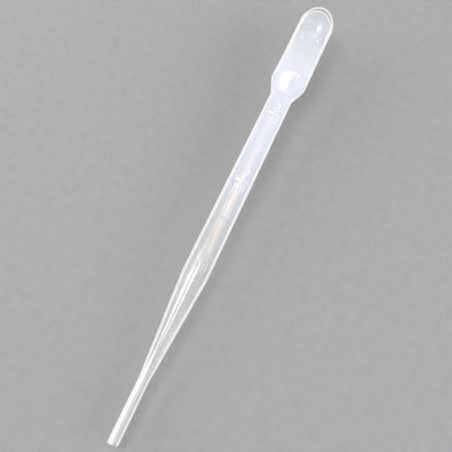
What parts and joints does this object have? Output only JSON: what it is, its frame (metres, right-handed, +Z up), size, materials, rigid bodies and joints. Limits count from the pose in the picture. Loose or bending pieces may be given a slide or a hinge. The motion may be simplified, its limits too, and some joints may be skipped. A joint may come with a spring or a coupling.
{
  "type": "transfer pipette",
  "caption": "One-piece plastic dropper pipette: straight open tip, long taper, graduated round stem and a squeeze bulb with a domed end, lying at rest.",
  "frame": {"origin": "middle of the pipette's length and width, on the surface that it lies on", "axes": "+Z up, +X along the pipette from the tip to the bulb, as seen from above; the pipette's own axis rises 1.83 degrees towards the bulb, because the bulb is wider than the stem"},
  "size_m": [0.155, 0.0124, 0.0133],
  "materials": {
    "milky_polyethylene": "translucent milky low-density polyethylene, smooth and softly glossy, a little bluish"
  },
  "bodies": {
    "root": {"pipette": "milky_polyethylene"}
  },
  "joints": []
}
